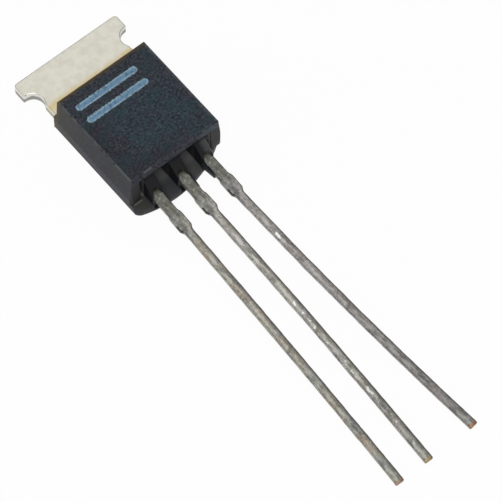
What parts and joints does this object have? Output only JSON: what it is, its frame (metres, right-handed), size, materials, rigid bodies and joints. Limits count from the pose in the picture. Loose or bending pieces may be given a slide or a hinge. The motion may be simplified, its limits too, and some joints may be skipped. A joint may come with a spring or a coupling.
{
  "type": "transistor",
  "caption": "Power transistor in a moulded plastic body with a bare T-shaped heat tab and flat wire leads in a row, for through-hole soldering.",
  "frame": {"origin": "middle of the moulded body's back face, midway along its front face", "axes": "+X across the leads from the emitter to the collector, +Y towards the tab, +Z out of the front face"},
  "size_m": [0.0104, 0.0451, 0.0044],
  "materials": {
    "epoxy": "matte, finely grained",
    "nickel_plate": "satin nickel plate",
    "tinned_lead": "dull solder dip",
    "silicon": "polished",
    "solder": "satin",
    "bond_wire": "drawn"
  },
  "bodies": {
    "root": {"epoxy_body": "epoxy", "collector_frame": "nickel_plate", "base_lead": "tinned_lead", "emitter_lead": "tinned_lead", "chip": "silicon", "die_solder": "solder", "base_bond_wire": "bond_wire", "emitter_bond_wire": "bond_wire"}
  },
  "joints": []
}
